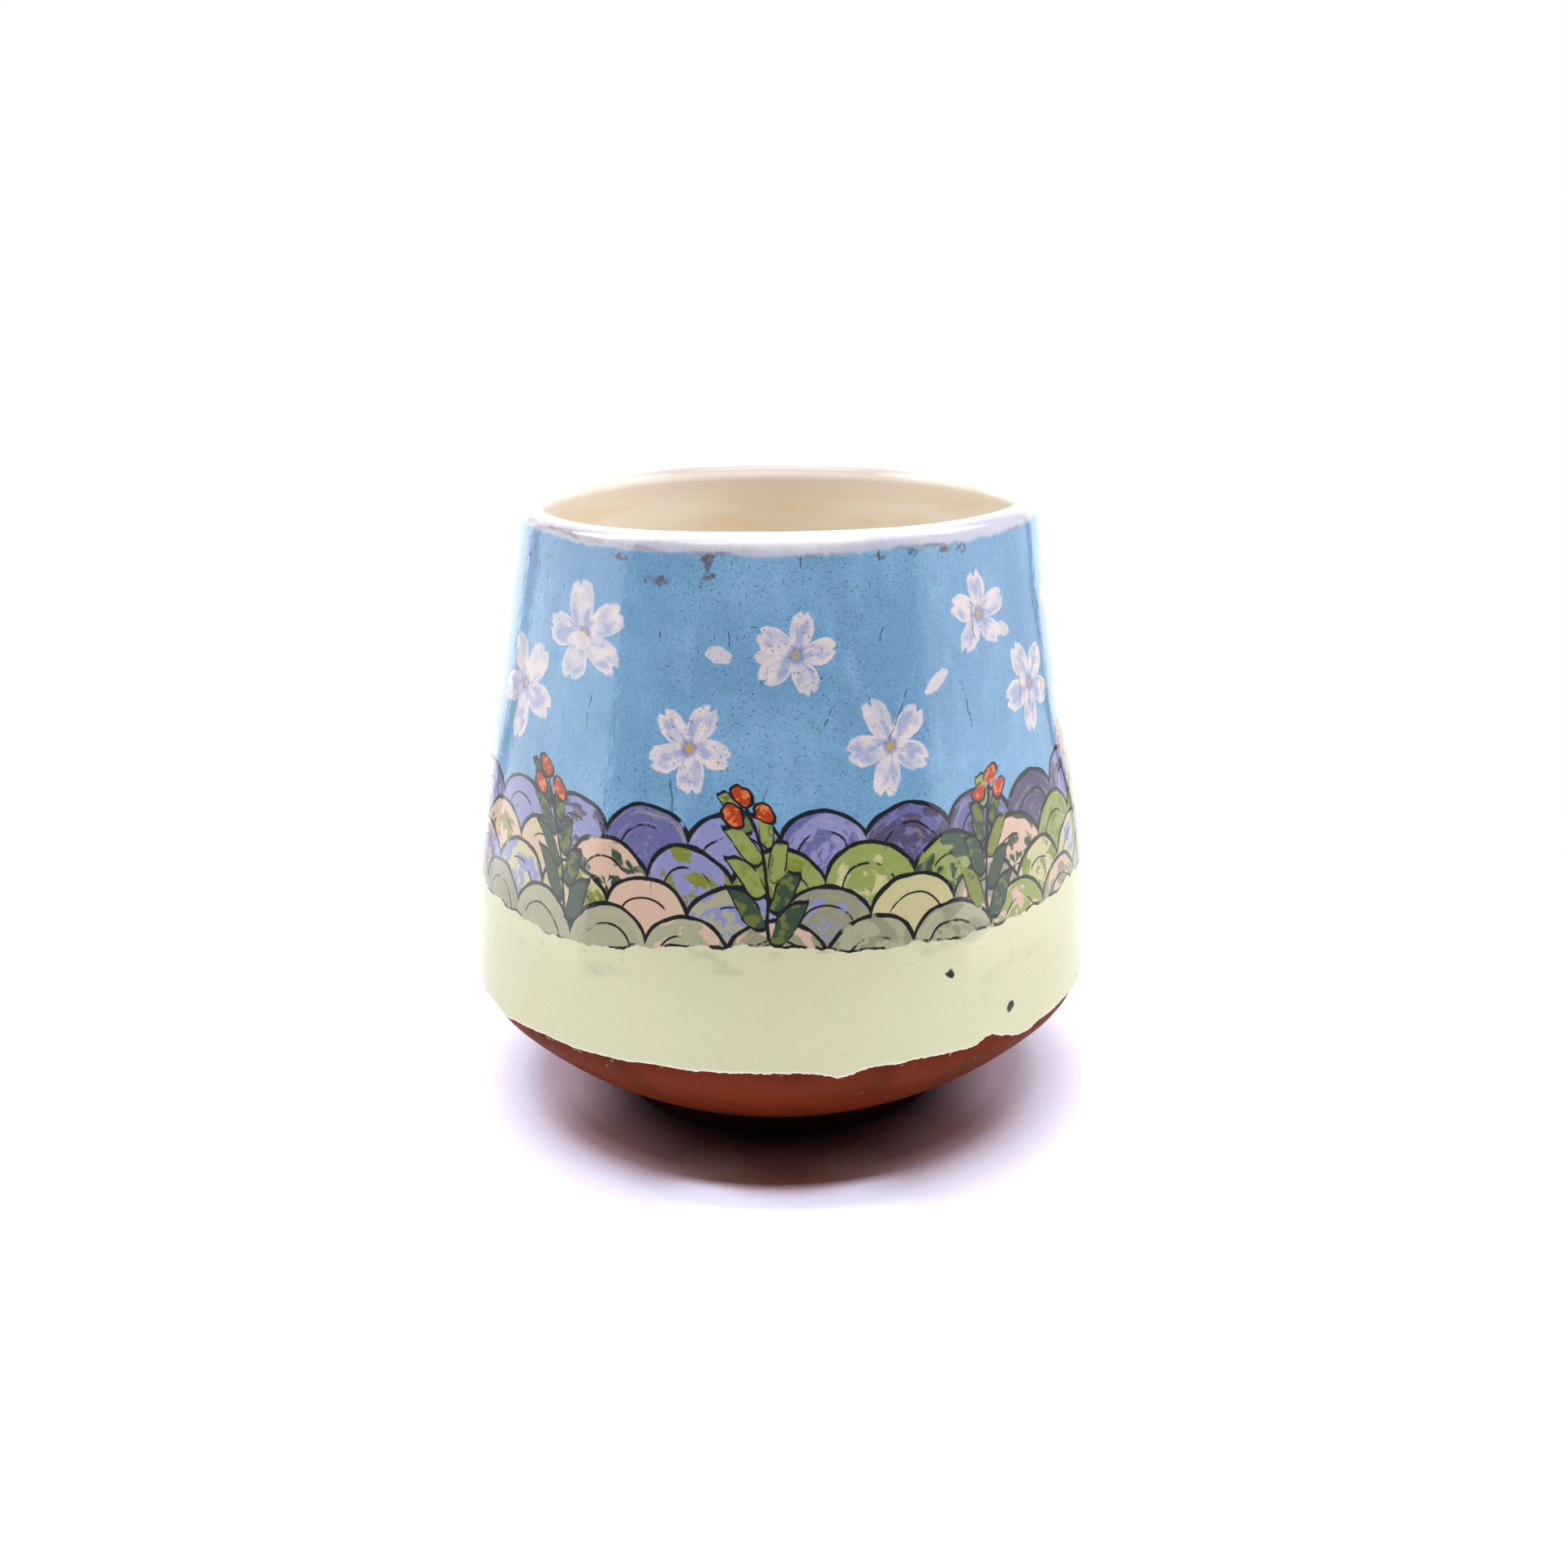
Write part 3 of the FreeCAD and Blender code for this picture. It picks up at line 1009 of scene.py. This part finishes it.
def cream_glaze():
    """Inside and lip: cream glaze over slip, with the soft bands that a wide brush left, and painted shade
    at the top of the inner wall and deeper down.
    """
    material, at = start_material("cream_glaze")
    bands = noise(vector(at.x * 0.3, at.y * 0.3, at.z * 2), 0.14, 3)
    colour = blend(past(bands, 0.35, 0.7), CREAM_COLOUR, CREAM_WARM)
    near, chance = at.specks(5)
    colour = blend(under(near, 0.12, 0.3) * past(chance, 0.6, 0.65) * 0.5, colour, UMBER)
    # Painted shade: the cream is darker and warmer deeper inside the cup
    colour = blend(past(at.past_edge, lip_end_way + 9, lip_end_way + 18) * 0.55, colour, CREAM_DEEP_SHADE)
    # Painted shade near the front and the back: the top of the inner wall is a little darker, darkest just
    # inside the lip's white
    ahead = under(abs(at.x), 14, 32)
    colour = blend(under(at.past_edge, lip_end_way, lip_end_way + 4) * ahead, colour, CREAM_PALE_SHADE)
    colour = blend(under(at.past_edge, cream_way, cream_way + 1.3) * ahead, colour, CREAM_SHADE)
    earlier = past(at.y, 0, lip_radius) * cream_gain + at.drift(0.3, 2, 0.4)
    colour = blend(under(at.past_edge + earlier, cream_way - 0.1, cream_way + 0.1), colour, LIP_WHITE)
    roughness = at.noise(0.3, 3) * 0.12 + 0.07
    relief = noise(vector(at.x * 0.4, at.y * 0.4, at.z), 0.5, 2)
    return finish_material(material, colour, roughness, relief, relief_depth=0.08, specular=0.36)


def bare_clay():
    """Turned red clay below the torn edge: matt, finely grooved, with pale grit, and painted shade on the
    foot.
    """
    material, at = start_material("bare_clay")
    colour = blend(at.patches(0.12, 4, 0.35, 0.7), TERRACOTTA, TERRACOTTA_DARK)
    grain = at.noise(3, 2)
    colour = blend(past(grain, 0.5, 0.75) * 0.07, colour, TERRACOTTA_PALE)
    near, chance = at.specks(5.5)
    grit = under(near, 0.12, 0.3) * past(chance, 0.6, 0.65)
    colour = blend(grit * 0.8, colour, TERRACOTTA_PALE)
    dark, dark_chance = at.specks(2.3)
    pits = under(dark, 0.08, 0.24) * past(dark_chance, 0.6, 0.65)
    colour = blend(pits * 0.6, colour, TERRACOTTA_DARK)
    smear = at.patches(0.9, 3, 0.6, 0.68) * past(at.past_edge, -0.9, -0.1)
    colour = blend(smear * 0.35, colour, BARE_SLIP)
    grooves = sine(at.radius * 9 + at.noise(0.2, 2) * 6)
    relief = grooves * 0.1 + grain * 0.25 - pits * 0.8
    # Painted shade: the foot ring under the bowl is darkened almost to black, and made rougher
    foot_shade = under(at.z, foot_height - 0.6, foot_height + 0.4) * 0.9
    colour = blend(foot_shade, colour, FOOT_SHADE)
    roughness = at.noise(0.5, 2) * 0.2 + 0.45 + foot_shade * 0.4
    return finish_material(material, colour, roughness, relief, relief_depth=0.05, specular=0.1)


def add_object(name, data):
    thing = bpy.data.objects.new(name, data)
    bpy.context.collection.objects.link(thing)
    return thing


def make_mug():
    mug = add_object("mug", mug_mesh())
    for material in (bare_clay(), painted_glaze(), cream_glaze()):
        mug.data.materials.append(material)
    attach(mug, "root")
    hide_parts("mug_body")
    return mug


# Camera: where it stands, how it is turned, and the lens that fits the photograph's square frame
camera_side = 0.81
camera_distance = 240
camera_height = 123.93
camera_pitch = radians(17.832)
camera_roll = radians(0.6125)
camera_focal = 37.26


def make_camera():
    """A camera that looks along +Y and down, with its roll."""
    data = bpy.data.cameras.new("camera")
    data.sensor_width = 36
    data.lens = camera_focal
    data.clip_start = 0.01
    data.clip_end = 50
    camera = add_object("camera", data)
    place = Matrix.Translation(Vector((camera_side, -camera_distance, camera_height)) * MM)
    pitched = Matrix.Rotation(pi / 2 - camera_pitch, 4, "X")
    camera.matrix_world = place @ pitched @ Matrix.Rotation(-camera_roll, 4, "Z")
    bpy.context.scene.camera = camera


# Brightness of what a glaze mirrors, by the angle from the front: dark round the camera, a bright
# wall on each side with a gap behind it, and white at the back
mirrored_left = [(0, 0.2), (64, 0.25), (68, 2.6), (118, 2.3), (121, 0.7), (127, 0.7), (131, 2.5)]
mirrored_right = [(0, 0.2), (58, 0.25), (62, 2.1), (104, 1.8), (112, 1.2), (129, 1.2)]
mirrored_right += [(131, 0.1), (134, 0.1), (136, 1.8)]


def mirrored(x, y, stations):
    """The grey of the tent where x is positive, by stations from front to back."""
    greys = [(angle, brightness, brightness, brightness) for angle, brightness in stations]
    return graded(bearing(x, y * -1) * (180 / pi), greys)


def tent(direction):
    """The white tent round the table, as a glaze mirrors it in this direction."""
    x, y, _ = parts_of(direction)
    left = mirrored(x * -1, y, mirrored_left)
    right = mirrored(x, y, mirrored_right)
    return blend(past(x, -0.001, 0.001), left, right)


# Distances from the axis between which the table's paint turns into plain white
shadow_reach = (110, 190)
# The table's paint as the camera sees it, by distance from the axis: deep shade under the belly, a
# lavender rim, then white. It ends sharply in front, is softer aslant and palest at the sides
front_shades = [
    (22, 0.03, 0.03, 0.03), (27, 0.1, 0.09, 0.1), (30, 0.42, 0.34, 0.36),
    (33, 0.78, 0.68, 0.72), (36, 0.92, 0.76, 0.76), (39.2, 0.82, 0.55, 0.48),
    (41.2, 3.7, 4.1, 5.3), (45, 2.1, 2.35, 2.8), (54, 2.3, 2.3, 2.4),
]
slant_shades = [
    (22, 0.05, 0.04, 0.05), (30, 0.44, 0.28, 0.31), (33, 0.48, 0.3, 0.33),
    (36, 0.52, 0.3, 0.32), (39, 0.86, 0.6, 0.69), (42, 1.65, 1.55, 1.95),
    (45, 1.85, 1.88, 2.3), (48, 1.85, 1.8, 2.2), (56, 2.3, 2.3, 2.4),
]
side_shades = [
    (22, 0.05, 0.04, 0.05), (30, 0.95, 0.74, 0.9), (34, 1.15, 0.92, 1.14),
    (36, 1.08, 0.88, 1.12), (38, 1.18, 1.03, 1.32), (40, 1.55, 1.46, 1.84),
    (42, 1.95, 1.98, 2.45), (48, 1.95, 1.9, 2.3), (56, 2.3, 2.3, 2.4),
]
# Turns from the front between which one shade goes over into the next
slant_shade_turns = (10 / 360, 28 / 360)
side_shade_turns = (45 / 360, 75 / 360)
# What the table gives back to other surfaces: painted shade keeps it dark under the bowl, and further off
# it gives back more than paper does, with a glow though it is no lamp
table_paint_shaded = (0.2, 0.19, 0.19, 1)
table_paint_light = (0.92, 0.92, 0.92, 1)
table_glow = 0.4


def white_table():
    """A table with the mug's shadow, partly painted for the camera, which turns plain white further off.
    """
    material, at = start_material("white_table")
    nodes = material.node_tree.nodes
    shader = nodes["Principled BSDF"]
    feed(shader.inputs["Roughness"], 0.9)
    feed(shader.inputs["Specular IOR Level"], 0.1)
    rays = nodes.new("ShaderNodeLightPath").outputs
    seen = Number(rays["Is Camera Ray"])
    glossy = Number(rays["Is Glossy Ray"])
    shade = graded(at.radius, front_shades)
    for turns, shades in ((slant_shade_turns, slant_shades), (side_shade_turns, side_shades)):
        shade = blend(past(abs(at.turn), *turns), shade, graded(at.radius, shades))
    lit = past(at.radius, 40, 50)
    # Painted shade under the bowl for the light the table gives back, and a glow further off
    paint = blend(lit, table_paint_shaded, table_paint_light)
    feed(shader.inputs["Base Color"], blend(seen, paint, shade))
    feed(shader.inputs["Emission Color"], (1, 1, 1, 1))
    feed(shader.inputs["Emission Strength"], lit * (1 - seen) * table_glow)
    white = nodes.new("ShaderNodeEmission")
    feed(white.inputs["Color"], blend(seen, tent(at.place), (1, 1, 1, 1)))
    either = nodes.new("ShaderNodeMixShader")
    feed(either.inputs[0], past(at.radius, *shadow_reach) * (seen + glossy))
    feed(either.inputs[1], shader.outputs[0])
    feed(either.inputs[2], white.outputs[0])
    feed(nodes["Material Output"].inputs["Surface"], either.outputs[0])
    return material


# Half the side of the table, in metres
table_reach = 12


def make_floor():
    mesh = bpy.data.meshes.new("floor")
    corners = [(x * table_reach, y * table_reach, 0) for x, y in ((-1, -1), (1, -1), (1, 1), (-1, 1))]
    mesh.from_pydata(corners, [], [(0, 1, 2, 3)])
    floor = add_object("floor", mesh)
    floor.data.materials.append(white_table())


# Lamps: name, shape, then place, aim and size in metres, then brightness, where 1 shows as white
lamps = [
    ("overhead", "DISK", (0, 0, 1), (0, 0, 0), (0.73, 0.73), 3.65),
    ("soft_box_left", "RECTANGLE", (-0.7, 0.06, 0.72), (0, 0, 0.02), (0.45, 0.45), 6.6),
    ("soft_box_right", "RECTANGLE", (0.7, 0.06, 0.72), (0, 0, 0.02), (0.45, 0.45), 5.3),
    ("front_panel", "RECTANGLE", (0, -0.63, 0.96), (0, 0, 0.06), (1.4, 0.5), 2.75),
]
room_light = 0.02


def area_lamp(name, shape, place, aim, size, radiance):
    """A flat lamp that is equally bright all over."""
    data = bpy.data.lights.new(name, "AREA")
    data.shape = shape
    data.size, data.size_y = size
    area = size[0] * size[1] * (pi / 4 if shape == "DISK" else 1)
    data.energy = radiance * pi * area
    lamp = add_object(name, data)
    lamp.location = place
    lamp.rotation_mode = "QUATERNION"
    lamp.rotation_quaternion = (Vector(aim) - Vector(place)).to_track_quat("-Z", "Y")
    return lamp


def make_lights(mug):
    """The lamps, of which the front panel lights the mug alone, and a white world with the tent."""
    made = {name: area_lamp(name, *facts) for name, *facts in lamps}
    panel = made["front_panel"]
    panel.light_linking.receiver_collection = bpy.data.collections.new("lit_by_the_panel")
    panel.light_linking.receiver_collection.objects.link(mug)
    world = bpy.data.worlds.new("world")
    world.use_nodes = True
    bpy.context.scene.world = world
    nodes = world.node_tree.nodes
    background = nodes["Background"]
    rays = nodes.new("ShaderNodeLightPath").outputs
    seen = [Number(rays[f"Is {kind} Ray"]) for kind in ("Camera", "Glossy", "Transmission")]
    shown = larger(larger(seen[0], seen[1]), seen[2])
    direction = nodes.new("ShaderNodeTexCoord").outputs["Generated"]
    feed(background.inputs["Color"], blend(seen[1], (1, 1, 1, 1), tent(direction)))
    feed(background.inputs["Strength"], shown * (1 - room_light) + room_light)


mug = make_mug()
make_camera()
make_floor()
make_lights(mug)
bpy.context.scene.view_settings.view_transform = "Standard"
